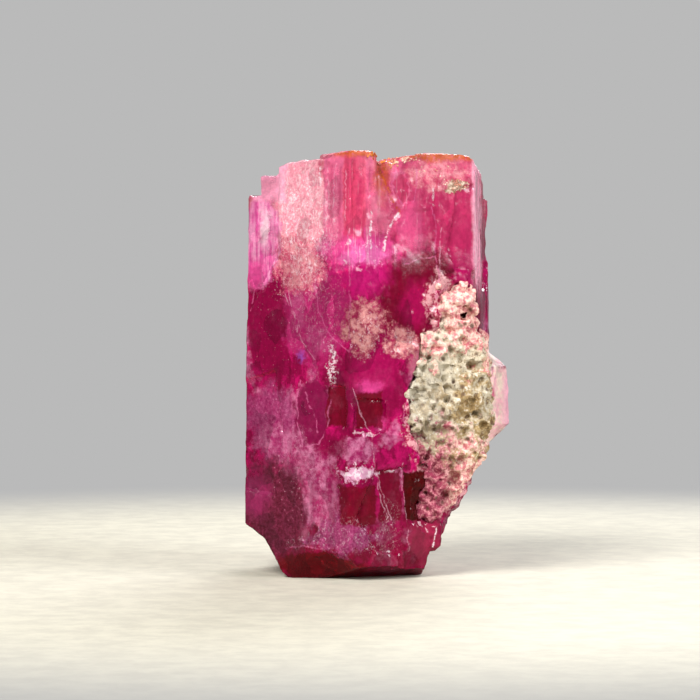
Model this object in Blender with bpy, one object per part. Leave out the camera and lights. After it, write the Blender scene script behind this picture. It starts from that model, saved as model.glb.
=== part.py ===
"""A raw red beryl crystal with a scrap of its volcanic matrix.

The crystal is a six-sided prism that has lost its ends: the top is a broken terrace of
blocks, and the lower end is chipped away on both sides down to a small flat break that it
stands on. One corner of the top is missing down to a steep fracture. The right front edge
is gone too, and porous cream rock fills its place. A smaller crystal has grown onto the
right side and is one solid with the large one.

Metres, +Z up. The viewer stands at -Y. The origin is the middle of the base.
"""

import math

import bmesh
import bpy
from mathutils import Matrix, Vector, noise

MM = 0.001

# Prism: the direction that each flat side faces, and how far it is from the middle axis.
LEFT_FRONT = math.radians(-126)
RIGHT_FRONT = math.radians(-66)
RIGHT = math.radians(-8.5)
RIGHT_BACK = math.radians(54)
LEFT_BACK = math.radians(114)
LEFT = math.radians(178.5)
SIDE_DISTANCE = {
    LEFT_FRONT: 2.66 * MM,
    RIGHT_FRONT: 2.57 * MM,
    RIGHT: 2.77 * MM,
    RIGHT_BACK: 2.64 * MM,
    LEFT_BACK: 2.62 * MM,
    LEFT: 2.82 * MM,
}
CRYSTAL_HEIGHT = 10.0 * MM
MIDDLE_HEIGHT = 5.0 * MM
TAPER = math.radians(0.4)

# Breaks: size of the wobble in a broken surface, and length of one wobble.
BREAK_RELIEF = 0.07 * MM
BREAK_GRAIN = 0.55 * MM
BREAK_CELL = 0.34 * MM
NOISE_SEED = 5
SILHOUETTE_DEPTH = -1.4 * MM
FLUTE_DEPTH = 0.05 * MM
FLUTE_FLATNESS = 0.5

# Top: its outline seen from the front, from left to right, then the terraces behind it.
TOP_OUTLINE = ((-2.60, 9.44), (-2.09, 9.60), (-1.90, 9.71), (-1.55, 9.77), (-1.00, 9.81),
               (-0.94, 9.92), (-0.50, 9.99), (-0.08, 10.01), (0.02, 9.94), (0.14, 9.83),
               (0.32, 9.77), (0.50, 9.70), (0.62, 9.83), (0.95, 9.87), (1.40, 9.94),
               (1.90, 9.93), (2.28, 9.88), (2.48, 9.78), (2.62, 9.64), (2.86, 9.50),
               (3.02, 9.26), (3.10, 8.92), (3.80, 8.50))
TOP_LID = ((3.80, 11.0), (-2.60, 11.0))
TOP_SKEW = -0.12
BACK_TERRACE = 9.52 * MM
BACK_CORNER = 9.20 * MM
LEFT_TERRACE = 9.50 * MM
MIDDLE_HOLLOW = 9.66 * MM
HIGH_LEDGE = 9.43 * MM
LOW_LEDGE = 8.95 * MM
HIGH_LEDGE_DEPTH = 0.74 * MM
LOW_LEDGE_DEPTH = 0.32 * MM

# Missing corner of the top: its right wall, its back wall and its steep floor.
CORNER_WALL_X = -2.07 * MM
CORNER_WALL_Y = -0.60 * MM
CORNER_FLOOR_TOP = 7.40 * MM
CORNER_FLOOR_FOOT = 6.20 * MM

# Lower end: the outline of each broken side seen from the front, and the lifted front heel.
LEFT_OUTLINE = ((-2.90, 1.22), (-2.60, 1.02), (-2.36, 0.84), (-2.22, 0.62), (-2.08, 0.34),
                (-1.92, 0.12), (-1.70, -0.03), (-1.50, -0.60), (-4.00, -0.60), (-4.00, 1.90))
LEFT_SKEW = 0.10
RIGHT_OUTLINE = ((1.24, -0.60), (1.28, 0.00), (1.40, 0.47), (1.52, 0.70), (1.64, 1.00),
                 (1.72, 1.24), (1.79, 1.50), (2.07, 1.68), (2.24, 2.00), (2.40, 2.20),
                 (2.51, 2.50), (2.62, 2.72), (2.84, 2.86), (4.20, 2.95), (4.20, -0.60))
RIGHT_SKEW = -0.02
HEEL_LEFT = Vector((-1.60, -2.40, 0.02)) * MM
HEEL_RIGHT = Vector((1.30, -2.30, 0.30)) * MM
HEEL_BACK = Vector((0.40, -1.50, -0.02)) * MM

# Small crystal on the right side.
SIDE_CRYSTAL_RADIUS = 0.80 * MM
SIDE_CRYSTAL_LENGTH = 2.34 * MM
SIDE_CRYSTAL_BEVEL = 0.48 * MM
SIDE_CRYSTAL_AT = Vector((2.66, 0.82, 4.14)) * MM
SIDE_CRYSTAL_LEAN = math.radians(-2)

# Matrix: a lens of rock laid over the missing edge, and its gap to the crystal.
MATRIX_TOP = 6.92 * MM
MATRIX_FOOT = 1.36 * MM
MATRIX_WIDEST = 4.05 * MM
MATRIX_BELLY = 1.45 * MM
MATRIX_PROUD = 0.36 * MM
MATRIX_SUNK = 0.62 * MM
MATRIX_RELIEF = 0.15 * MM
MATRIX_PIT_SPACING = 0.42 * MM
MATRIX_PIT_DEPTH = 0.20 * MM
MATRIX_FOOT_INSET = 0.85 * MM
MATRIX_FOOT_SHARE = 0.26
GAP = 0.0003

# Cutters: how far they reach past the crystal.
CUTTER_REACH = 9.0 * MM
CUTTER_THICKNESS = 3.6 * MM
CUTTER_TOP = 11.0 * MM
SWEEP_REACH = 3.6 * MM


def clear_scene():
    for item in list(bpy.data.objects):
        bpy.data.objects.remove(item, do_unlink=True)


def new_collection(name):
    collection = bpy.data.collections.new(name)
    bpy.context.scene.collection.children.link(collection)
    return collection


def make_material(name, colour, roughness, transmission):
    material = bpy.data.materials.new(name)
    material.use_nodes = True
    shader = material.node_tree.nodes["Principled BSDF"]
    shader.inputs["Base Color"].default_value = (*colour, 1.0)
    shader.inputs["Roughness"].default_value = roughness
    shader.inputs["Metallic"].default_value = 0.0
    shader.inputs["Transmission Weight"].default_value = transmission
    shader.inputs["IOR"].default_value = 1.57
    return material


def make_object(name, bm, collection):
    bmesh.ops.recalc_face_normals(bm, faces=bm.faces)
    bmesh.ops.triangulate(bm, faces=bm.faces)
    mesh = bpy.data.meshes.new(name)
    bm.to_mesh(mesh)
    bm.free()
    item = bpy.data.objects.new(name, mesh)
    collection.objects.link(item)
    return item


def make_cutter(name, bm, collection):
    item = make_object(name, bm, collection)
    item.hide_render = True
    item.display_type = "WIRE"
    return item


def add_boolean(item, other, operation):
    modifier = item.modifiers.new(other.name, "BOOLEAN")
    modifier.operation = operation
    modifier.solver = "EXACT"
    modifier.object = other


def cut_flat(bm, point, outward):
    """Cut away what lies beyond a plane and close the cut with one flat face."""
    geometry = bm.verts[:] + bm.edges[:] + bm.faces[:]
    cut = bmesh.ops.bisect_plane(bm, geom=geometry, dist=1e-7, plane_co=point,
                                 plane_no=outward, clear_outer=True)
    rim = [part for part in cut["geom_cut"] if isinstance(part, bmesh.types.BMEdge)]
    bmesh.ops.contextual_create(bm, geom=rim)


def side_frame(side, along=0.0, height=0.0, out=0.0):
    """A frame on one flat side: X to the right as seen from outside, Y up, Z outward."""
    outward = Vector((math.cos(side), math.sin(side), 0.0))
    sideways = Vector((-math.sin(side), math.cos(side), 0.0))
    upward = Vector((0.0, 0.0, 1.0))
    origin = outward * (SIDE_DISTANCE[side] + out) + sideways * along + upward * height
    frame = Matrix((sideways, upward, outward)).transposed().to_4x4()
    frame.translation = origin
    return frame


def slice_cells(bm, low, high, cell, axes):
    """Cut a mesh's faces into cells along some axes, so that it can be roughened."""
    for axis in axes:
        direction = Vector((0.0, 0.0, 0.0))
        direction[axis] = 1.0
        span = high[axis] - low[axis]
        count = max(1, round(span / cell))
        for step in range(1, count):
            place = direction * (low[axis] + span * step / count)
            geometry = bm.verts[:] + bm.edges[:] + bm.faces[:]
            bmesh.ops.bisect_plane(bm, geom=geometry, dist=1e-8, plane_co=place, plane_no=direction)


def grid_box(size, cell):
    """A box around the origin with its faces cut into cells."""
    bm = bmesh.new()
    bmesh.ops.create_cube(bm, size=1.0)
    bmesh.ops.scale(bm, vec=size, verts=bm.verts)
    slice_cells(bm, -size / 2, size / 2, cell, (0, 1, 2))
    return bm


def swept_outline(name, collection, outline, skew, relief, seed):
    """A rough-faced cutter: an outline in X and Z, given in mm, swept from front to back."""
    bm = bmesh.new()
    rim = [bm.verts.new(Vector((x * MM, -SWEEP_REACH, z * MM))) for x, z in outline]
    swept = bmesh.ops.extrude_face_region(bm, geom=[bm.faces.new(rim)])
    far = [part for part in swept["geom"] if isinstance(part, bmesh.types.BMVert)]
    bmesh.ops.translate(bm, vec=(0.0, 2 * SWEEP_REACH, 0.0), verts=far)
    low = Vector((min(x for x, z in outline) * MM, -SWEEP_REACH, 0.0))
    high = Vector((max(x for x, z in outline) * MM, SWEEP_REACH, 0.0))
    slice_cells(bm, low, high, BREAK_CELL, (0, 1))
    roughen(bm, relief, BREAK_GRAIN, seed)
    for vert in bm.verts:
        vert.co.x += skew * (vert.co.y - SILHOUETTE_DEPTH)
    return make_cutter(name, bm, collection)


def roughen(bm, relief, grain, seed):
    """Shift each point by seeded noise, by up to relief along each axis."""
    offset = Vector((seed * 3.7, seed * 1.9, seed * 5.3))
    for vert in bm.verts:
        place = vert.co / grain + offset
        shift = noise.noise_vector(place) + 0.5 * noise.noise_vector(place * 2.1)
        vert.co += Vector([shift[axis] * relief[axis] for axis in range(3)])


def block(name, collection, low, high, turn, relief, seed):
    """A rough-faced cutter between two corners, turned about its own middle."""
    size = high - low
    bm = grid_box(size, BREAK_CELL)
    roughen(bm, Vector((relief, relief, relief)), BREAK_GRAIN, seed)
    frame = Matrix.Translation((low + high) / 2) @ turn.to_4x4()
    bmesh.ops.transform(bm, matrix=frame, verts=bm.verts)
    return make_cutter(name, bm, collection)


def slab(name, collection, point, outward, relief, seed, wide=CUTTER_REACH):
    """A rough-faced cutter that takes away what lies beyond a plane."""
    bm = grid_box(Vector((wide, wide, CUTTER_THICKNESS)), BREAK_CELL * 1.2)
    roughen(bm, Vector((0.0, 0.0, relief)), BREAK_GRAIN, seed)
    bmesh.ops.translate(bm, vec=(0.0, 0.0, CUTTER_THICKNESS / 2), verts=bm.verts)
    turn = outward.to_track_quat("Z", "Y").to_matrix().to_4x4()
    frame = Matrix.Translation(point) @ turn
    bmesh.ops.transform(bm, matrix=frame, verts=bm.verts)
    return make_cutter(name, bm, collection)


def through(first, second, azimuth):
    """The outward direction of a plane through two points that faces an azimuth."""
    along = (second - first).normalized()
    level = Vector((-math.sin(azimuth), math.cos(azimuth), 0.0))
    across = level - along * level.dot(along)
    outward = along.cross(across).normalized()
    facing = Vector((math.cos(azimuth), math.sin(azimuth), 0.0))
    return outward if outward.dot(facing) > 0 else -outward


def scoop(name, collection, centre, radii, turn):
    """A shell-shaped fracture: the cutter is a slightly uneven lens that bites into a side."""
    bm = bmesh.new()
    bmesh.ops.create_icosphere(bm, subdivisions=3, radius=1.0)
    bmesh.ops.scale(bm, vec=radii, verts=bm.verts)
    roughen(bm, radii * 0.06, BREAK_GRAIN * 1.6, centre.length / MM)
    bmesh.ops.transform(bm, matrix=Matrix.Translation(centre) @ turn.to_4x4(), verts=bm.verts)
    return make_cutter(name, bm, collection)


def plate(name, collection, side, along, height, wide, tall, deep, corners, seed):
    """A shallow step in a flat side: an uneven outline of straight breaks, and a flat floor."""
    reach = 0.5 * MM
    bm = bmesh.new()
    bmesh.ops.create_circle(bm, cap_ends=True, segments=corners, radius=0.5,
                            matrix=Matrix.Rotation(math.pi / corners, 4, "Z"))
    for vert in bm.verts:
        uneven = 1.0 + 0.42 * noise.noise(Vector((vert.co.x * 3.1, vert.co.y * 3.1, seed * 2.3)))
        vert.co = Vector((vert.co.x * wide * uneven, vert.co.y * tall * uneven, 0.0))
    swept = bmesh.ops.extrude_face_region(bm, geom=bm.faces[:])
    outer = [part for part in swept["geom"] if isinstance(part, bmesh.types.BMVert)]
    bmesh.ops.translate(bm, vec=(0.0, 0.0, reach), verts=outer)
    bmesh.ops.transform(bm, matrix=side_frame(side, along, height, -deep), verts=bm.verts)
    return make_cutter(name, bm, collection)


def flutes(name, collection, side, start, end, count, low, high, seed):
    """Upright growth grooves in one flat side, spaced so that no two meet."""
    bm = bmesh.new()
    pitch = (end - start) / count
    for number in range(count):
        chance = noise.noise_vector(Vector((number * 3.3, seed * 1.7, 2.9)))
        along = start + pitch * (number + 0.5 + 0.10 * chance.x)
        tall = (high - low) * (0.62 + 0.5 * chance.y)
        height = (low + high) / 2 + (high - low) * 0.5 * chance.z
        radius = 0.38 * pitch * (1.0 + 0.4 * chance.y)
        form = bmesh.ops.create_cone(bm, cap_ends=True, segments=10, radius1=radius,
                                     radius2=radius * 0.7, depth=tall)
        turn = Matrix.Rotation(math.radians(-90), 4, "X")
        flat = Matrix.Diagonal((1.0, 1.0, FLUTE_FLATNESS, 1.0))
        frame = side_frame(side, along, height, radius * FLUTE_FLATNESS - FLUTE_DEPTH)
        bmesh.ops.transform(bm, matrix=frame @ flat @ turn, verts=form["verts"])
    return make_cutter(name, bm, collection)


def prism_blank():
    """The crystal before anything broke off: six flat sides with a slight taper."""
    bm = bmesh.new()
    bmesh.ops.create_cube(bm, size=4 * CRYSTAL_HEIGHT)
    for side, distance in SIDE_DISTANCE.items():
        level = Vector((math.cos(side), math.sin(side), 0.0))
        point = level * distance + Vector((0.0, 0.0, MIDDLE_HEIGHT))
        cut_flat(bm, point, level * math.cos(TAPER) + Vector((0.0, 0.0, math.sin(TAPER))))
    cut_flat(bm, Vector((0.0, 0.0, 0.0)), Vector((0.0, 0.0, -1.0)))
    cut_flat(bm, Vector((0.0, 0.0, CRYSTAL_HEIGHT)), Vector((0.0, 0.0, 1.0)))
    return bm


def side_crystal(collection):
    """The small crystal: a six-sided prism with bevelled ends, nearly upright."""
    bm = bmesh.new()
    bmesh.ops.create_cone(bm, cap_ends=True, segments=6, radius1=SIDE_CRYSTAL_RADIUS,
                          radius2=SIDE_CRYSTAL_RADIUS * 0.94, depth=SIDE_CRYSTAL_LENGTH)
    rims = [edge for edge in bm.edges if abs(edge.verts[0].co.z - edge.verts[1].co.z) < 1e-7]
    bmesh.ops.bevel(bm, geom=rims, offset=SIDE_CRYSTAL_BEVEL, segments=1, profile=0.5,
                    affect="EDGES", material=-1)
    bmesh.ops.recalc_face_normals(bm, faces=bm.faces)
    turn = Matrix.Rotation(SIDE_CRYSTAL_LEAN, 4, "Y") @ Matrix.Rotation(math.radians(20), 4, "Z")
    bmesh.ops.transform(bm, matrix=Matrix.Translation(SIDE_CRYSTAL_AT) @ turn, verts=bm.verts)
    return make_cutter("side_crystal_form", bm, collection)


def top_breaks(cutters):
    """Cutters for the broken top: its uneven outline, and lower terraces at the back."""
    relief = Vector((0.05, 0.03, 0.045)) * MM
    found = [swept_outline("top_break", cutters, TOP_OUTLINE + TOP_LID, TOP_SKEW, relief, 1)]
    for name, floor, west, east, south, north, turn, seed in (
            ("back_terrace", BACK_TERRACE, -2.4, 1.6, 0.9, 4.0, 24, 4),
            ("back_corner", BACK_CORNER, 0.6, 3.6, 1.0, 4.2, 24, 5),
            ("left_terrace", LEFT_TERRACE, -3.2, -0.9, -0.6, 1.6, -36, 9),
            ("middle_hollow", MIDDLE_HOLLOW, 0.1, 1.7, -0.9, 0.9, 24, 10)):
        low = Vector((west * MM, south * MM, floor))
        high = Vector((east * MM, north * MM, CUTTER_TOP))
        level = Matrix.Rotation(math.radians(turn), 3, "Z")
        found.append(block(name, cutters, low, high, level, BREAK_RELIEF, seed))
    return found


def corner_breaks(cutters):
    """Cutters for the missing corner: two upright walls and a steep smooth floor."""
    size = Vector((4.0, 5.0, 6.0)) * MM
    bm = grid_box(size, BREAK_CELL * 1.2)
    corner = Vector((CORNER_WALL_X, CORNER_WALL_Y, CUTTER_TOP))
    bmesh.ops.translate(bm, vec=corner - size / 2, verts=bm.verts)
    roughen(bm, Vector((0.03, 0.05, 0.0)) * MM, BREAK_GRAIN, 6)
    foot = Vector((-2.80 * MM, -1.3 * MM, CORNER_FLOOR_FOOT))
    top = Vector((CORNER_WALL_X, -1.3 * MM, CORNER_FLOOR_TOP))
    floor_out = through(foot, top, math.radians(160))
    cut_flat(bm, foot, -floor_out)
    found = [make_cutter("missing_corner", bm, cutters)]
    for name, floor, depth, seed in (("high_ledge", HIGH_LEDGE, HIGH_LEDGE_DEPTH, 7),
                                     ("low_ledge", LOW_LEDGE, LOW_LEDGE_DEPTH, 8)):
        tall = CUTTER_TOP - floor
        bm = grid_box(Vector((7.0 * MM, tall, 1.2 * MM)), BREAK_CELL)
        roughen(bm, Vector((0.0, 0.04, 0.02)) * MM, BREAK_GRAIN, seed)
        frame = side_frame(LEFT, 0.0, floor + tall / 2, 0.6 * MM - depth)
        bmesh.ops.transform(bm, matrix=frame, verts=bm.verts)
        found.append(make_cutter(name, bm, cutters))
    return found


def lower_breaks(cutters):
    """Cutters for the lower end: broken sides, a lifted front heel and a broken back."""
    relief = Vector((0.05, 0.03, 0.05)) * MM
    found = [swept_outline("left_break", cutters, LEFT_OUTLINE, LEFT_SKEW, relief, 11),
             swept_outline("right_break", cutters, RIGHT_OUTLINE, RIGHT_SKEW, relief, 12)]
    heel = (HEEL_RIGHT - HEEL_LEFT).cross(HEEL_BACK - HEEL_LEFT).normalized()
    heel = heel if heel.z < 0 else -heel
    found.append(slab("front_heel", cutters, HEEL_LEFT, heel, 0.03 * MM, 15))
    for name, point, outward, seed in (
            ("upper_right_chip", Vector((1.12, -2.28, 2.0)), Vector((0.80, -0.58, -0.13)), 13),
            ("lower_right_chip", Vector((1.28, -2.10, 0.9)), Vector((0.62, -0.75, -0.22)), 14),
            ("back_break", Vector((0.4, 2.45, 0.0)), Vector((0.25, 0.62, -0.74)), 16)):
        wide = 1.35 * MM if "chip" in name else CUTTER_REACH
        found.append(slab(name, cutters, point * MM, outward.normalized(), 0.04 * MM, seed, wide))
    return found


def shell_fractures(cutters):
    """Cutters for the shell-shaped chips in the flat sides."""
    upright = Matrix.Identity(3)
    lean = Matrix.Rotation(math.radians(28), 3, "X")
    found = []
    along_front = Matrix.Rotation(math.radians(-36), 3, "Z")
    found.append(scoop("front_foot_chip", cutters, Vector((-1.28, -3.45, -0.10)) * MM,
                       Vector((1.75, 1.25, 0.98)) * MM, along_front))
    found.append(scoop("front_chip_high", cutters, Vector((-2.0, -2.95, 6.5)) * MM,
                       Vector((0.75, 0.85, 1.5)) * MM, Matrix.Rotation(math.radians(-24), 3, "Y")))
    found.append(scoop("left_edge_nick", cutters, Vector((-2.96, -1.2, 2.43)) * MM,
                       Vector((0.16, 0.30, 0.11)) * MM, upright))
    found.append(scoop("back_chip", cutters, Vector((0.9, 3.35, 6.2)) * MM,
                       Vector((1.3, 0.95, 1.7)) * MM, Matrix.Rotation(math.radians(18), 3, "Y")))
    found.append(scoop("left_chip", cutters, Vector((-3.3, 0.55, 4.2)) * MM,
                       Vector((0.85, 1.1, 1.5)) * MM, Matrix.Rotation(math.radians(-15), 3, "X")))
    found.append(scoop("back_foot_chip", cutters, Vector((-1.5, 2.9, 1.2)) * MM,
                       Vector((1.2, 0.9, 1.1)) * MM, lean))
    return found


def flat_plates(cutters):
    """Cutters for the shallow growth steps, the windows and the grooves in the sides."""
    found = []

    def step(name, side, along, height, wide, tall, deep, corners, seed):
        found.append(plate(name, cutters, side, along * MM, height * MM, wide * MM, tall * MM,
                           deep * MM, corners, seed))

    step("left_window", LEFT_FRONT, 1.06, 4.04, 0.66, 1.35, 0.08, 4, 21)
    step("right_window", RIGHT_FRONT, -1.08, 3.87, 1.15, 1.10, 0.08, 4, 22)
    step("upper_step", RIGHT_FRONT, 0.10, 8.05, 1.5, 1.7, 0.05, 5, 24)
    step("edge_step", RIGHT_FRONT, 1.45, 8.10, 1.1, 2.9, 0.09, 5, 25)
    step("left_step", LEFT_FRONT, -1.35, 3.30, 2.2, 3.2, 0.06, 6, 26)
    step("middle_step", LEFT_FRONT, 1.35, 6.35, 1.6, 2.1, 0.05, 7, 30)
    step("foot_step", RIGHT_FRONT, -0.55, 1.50, 1.5, 2.3, 0.06, 6, 31)
    step("back_step", RIGHT_BACK, 0.9, 3.6, 2.3, 3.8, 0.10, 7, 27)
    step("back_patch", RIGHT_BACK, -1.1, 7.4, 1.7, 2.6, 0.07, 5, 32)
    step("far_step", LEFT_BACK, -1.0, 7.2, 2.0, 3.6, 0.12, 6, 28)
    step("far_patch", LEFT_BACK, 1.0, 3.4, 1.9, 2.8, 0.06, 7, 33)
    step("right_step", RIGHT, 0.7, 8.0, 1.8, 2.9, 0.08, 6, 29)
    step("side_step", LEFT, -0.9, 6.0, 1.8, 3.2, 0.07, 6, 34)

    def groove(name, side, start, end, count, low, high, seed):
        found.append(flutes(name, cutters, side, start * MM, end * MM, count, low * MM, high * MM, seed))

    groove("front_left_flutes", LEFT_FRONT, 0.15, 1.45, 4, 7.7, 10.6, 41)
    groove("front_right_flutes", RIGHT_FRONT, -1.45, 0.10, 5, 7.8, 10.4, 42)
    groove("middle_flutes", RIGHT_FRONT, -0.50, 0.95, 4, 4.9, 7.1, 47)
    groove("right_flutes", RIGHT, -1.2, 1.2, 5, 6.2, 9.6, 43)
    groove("back_flutes", RIGHT_BACK, -1.3, 1.3, 6, 1.8, 9.0, 44)
    groove("far_flutes", LEFT_BACK, -1.3, 1.3, 6, 1.6, 8.6, 45)
    groove("left_flutes", LEFT, -1.2, 0.9, 5, 1.6, 8.0, 46)
    return found


def surface_radius(azimuth):
    """Distance from the axis to the prism's flat sides, in one direction."""
    reach = []
    for side, distance in SIDE_DISTANCE.items():
        facing = math.cos(azimuth - side)
        if facing > 0.1:
            reach.append(distance / facing)
    return min(reach)


def matrix_lens(across, along, swell=0.0):
    """The rock as one closed lens: a ball that is laid over the prism's right front edge.

    A point of the ball gives a height, a turn about the crystal and a depth through the
    rock. Swell pushes every side of the lens out by the same amount.
    """
    bm = bmesh.new()
    bmesh.ops.create_uvsphere(bm, u_segments=across, v_segments=along, radius=1.0)
    for vert in bm.verts:
        ring = max(1e-6, math.hypot(vert.co.x, vert.co.y))
        sideways = vert.co.x / ring
        outward = -vert.co.y / ring
        rise = vert.co.z
        reach = (MATRIX_TOP if rise > 0 else MATRIX_FOOT) - MATRIX_WIDEST
        height = MATRIX_WIDEST + abs(rise) * reach + rise * swell
        share = (height - MATRIX_FOOT) / (MATRIX_TOP - MATRIX_FOOT)
        belly = math.exp(-((height - MATRIX_WIDEST) / MATRIX_BELLY) ** 2)
        close = min(1.0, ring) ** 0.4
        middle = math.radians(-40 + 4 * belly)
        radius = surface_radius(middle)
        ragged = 1.0 + 0.22 * noise.noise(Vector((height / (0.5 * MM), 8.1, 0.4)))
        half_turn = (math.radians(11 + 14.5 * belly) * close) * ragged + swell / radius
        turn = middle + half_turn * sideways
        proud = MATRIX_PROUD * (0.35 + 0.65 * belly) * close
        sunk = MATRIX_SUNK * (0.45 + 0.55 * belly) * close
        depth = proud * outward if outward > 0 else sunk * outward
        depth += swell * outward
        inset = MATRIX_FOOT_INSET * max(0.0, 1 - share / MATRIX_FOOT_SHARE)
        distance = surface_radius(turn) + depth
        vert.co = Vector((distance * math.cos(turn) - inset, distance * math.sin(turn), height))
    bm.normal_update()
    return bm


def weather(bm):
    """Give the rock its lumps and pores: shift its points along their normals."""
    shifts = []
    for vert in bm.verts:
        lumps = noise.noise(vert.co / (0.45 * MM)) + 0.6 * noise.noise(vert.co / (0.19 * MM))
        nearest = noise.voronoi(vert.co / MATRIX_PIT_SPACING)[0][0]
        pore = max(0.0, 1.0 - nearest / 0.45)
        shifts.append(vert.normal * (MATRIX_RELIEF * lumps - MATRIX_PIT_DEPTH * pore))
    for vert, shift in zip(bm.verts, shifts):
        vert.co += shift


clear_scene()
noise.seed_set(NOISE_SEED)
beryl_parts = new_collection("raw_red_beryl_crystal")
beryl_cutters = new_collection("cutters")
red_beryl = make_material("red_beryl", (0.40, 0.03, 0.13), 0.12, 0.6)
rhyolite = make_material("rhyolite", (0.43, 0.28, 0.17), 0.9, 0.0)

crystal = make_object("beryl_crystal", prism_blank(), beryl_parts)
crystal.data.materials.append(red_beryl)
add_boolean(crystal, side_crystal(beryl_cutters), "UNION")
for breaks in (top_breaks, corner_breaks, lower_breaks, shell_fractures, flat_plates):
    for cutter in breaks(beryl_cutters):
        add_boolean(crystal, cutter, "DIFFERENCE")
socket = make_cutter("matrix_socket", matrix_lens(24, 30, GAP), beryl_cutters)
add_boolean(crystal, socket, "DIFFERENCE")

lens = matrix_lens(38, 54)
weather(lens)
rock = make_object("matrix", lens, beryl_parts)
rock.data.materials.append(rhyolite)

base = bpy.data.objects.new("crystal_base", None)
beryl_parts.objects.link(base)
for item in [*beryl_parts.objects, *beryl_cutters.objects]:
    if item is not base:
        item.parent = base
bpy.context.view_layer.update()
corners = []
graph = bpy.context.evaluated_depsgraph_get()
for item in (crystal, rock):
    solid = item.evaluated_get(graph)
    corners.extend(solid.matrix_world @ Vector(corner) for corner in solid.bound_box)
lowest = Vector([min(corner[axis] for corner in corners) for axis in range(3)])
highest = Vector([max(corner[axis] for corner in corners) for axis in range(3)])
base.location = (-(lowest.x + highest.x) / 2, -(lowest.y + highest.y) / 2, -lowest.z)
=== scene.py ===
import math
import random

import bmesh
import bpy
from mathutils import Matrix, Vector, noise
from mathutils.bvhtree import BVHTree


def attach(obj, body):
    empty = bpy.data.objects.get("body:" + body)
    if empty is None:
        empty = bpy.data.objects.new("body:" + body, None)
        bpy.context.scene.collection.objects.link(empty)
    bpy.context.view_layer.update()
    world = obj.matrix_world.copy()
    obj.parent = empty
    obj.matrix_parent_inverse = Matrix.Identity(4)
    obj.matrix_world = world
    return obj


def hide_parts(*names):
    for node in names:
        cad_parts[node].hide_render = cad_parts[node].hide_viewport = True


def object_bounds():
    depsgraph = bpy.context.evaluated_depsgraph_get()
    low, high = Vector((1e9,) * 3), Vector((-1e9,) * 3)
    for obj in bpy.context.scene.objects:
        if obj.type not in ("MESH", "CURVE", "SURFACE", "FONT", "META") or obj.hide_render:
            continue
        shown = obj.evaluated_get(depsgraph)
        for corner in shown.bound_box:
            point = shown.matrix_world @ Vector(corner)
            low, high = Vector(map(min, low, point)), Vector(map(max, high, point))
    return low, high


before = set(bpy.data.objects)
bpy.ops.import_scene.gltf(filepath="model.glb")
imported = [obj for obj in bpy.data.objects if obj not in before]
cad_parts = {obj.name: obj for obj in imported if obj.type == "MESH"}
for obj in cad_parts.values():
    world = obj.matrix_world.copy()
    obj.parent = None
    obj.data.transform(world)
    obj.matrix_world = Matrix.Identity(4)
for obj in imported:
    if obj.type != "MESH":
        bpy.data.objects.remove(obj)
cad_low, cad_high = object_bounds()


# The beryl crystal. The real one is a red, clouded six-sided prism of beryl that grew in a
# cavity of volcanic rock. Its sides keep fine upright growth lines and shallow steps, and
# every other face of it is a break. It is one solid with the small crystal on its right.

# A millimetre in the metres of the scene.
MM = 0.001

# The direction that each side of the prism faces, and for the two front ones and the right
# one also how far out it lies from the upright axis, which stands at AXIS, in mm. The front
# edge is where the first two meet.
SIDES = [math.radians(angle) for angle in (-126.0, -66.0, -8.5, 54.0, 114.0, 178.5)]
FRONT_SIDES = ((SIDES[0], 2.66), (SIDES[1], 2.57))
RIGHT_SIDE = (SIDES[2], 2.70)
AXIS = (-0.291, -0.013)

# The middle and half size of the place on the right that has the small crystal's finish, in mm.
SIDE_CRYSTAL_AT = (2.37, 0.81, 4.14)
SIDE_CRYSTAL_SIZE = (0.95, 0.95, 1.30)

# The width of the faces of the finer mesh, and how squarely one must face along a side of
# the prism to carry its growth lines. Every other face is a break, and the flat foot stays.
CRYSTAL_CELL = 0.0575 * MM
SIDE_LIKENESS = 0.9995
SHARP_FROM = math.radians(28)
FLAT_FOOT = 0.02 * MM

# The relief of the sides and of the breaks. The growth lines and steps are spaced across a
# side and along it, and the breaks have wide and narrow lumps and chips.
GROWTH_LINE_DEPTH = 0.010 * MM
GROWTH_STEP_DEPTH = 0.022 * MM
FINE_LINES = (0.11 * MM, 3.2 * MM)
WIDE_LINES = (0.31 * MM, 5.0 * MM)
GROWTH_STEPS = (0.75 * MM, 1.7 * MM)
STEP_LEVELS = 5.0
BREAK_LUMP_DEPTH = 0.030 * MM
WIDE_LUMPS = 0.34 * MM
NARROW_LUMPS = 0.15 * MM
CHIPS = 0.42 * MM

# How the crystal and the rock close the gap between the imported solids, with small lumps. A
# gap is bridged up to its widest, and at the open rim, near a side's surface, less. The rock
# makes most of the lumps in the middle of its height, and the crystal most of the others,
# each so much of the way from the crystal's wall to the rock's. A lump's radius is a share of
# the gap and a little extra, in mm.
WIDEST_GAP = 0.50 * MM
WIDEST_RIM = 0.26 * MM
RIM_DEPTH = 0.08
LUMP_DEPTH = 0.24
HIGHEST_LUMP = 6.9 * MM
ROCK_LOW = 2.7 * MM
ROCK_HIGH = 5.7 * MM
ROCK_IN_THE_MIDDLE = 0.85
ROCK_ELSEWHERE = 0.12
ROCK_LUMPS = 900
CRYSTAL_LUMPS = 1500
ROCK_WAY = (0.1, 0.7)
CRYSTAL_WAY = (0.0, 0.85)
LUMP_SHARE = (0.30, 0.50)
LUMP_EXTRA = (0.01, 0.05)

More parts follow.
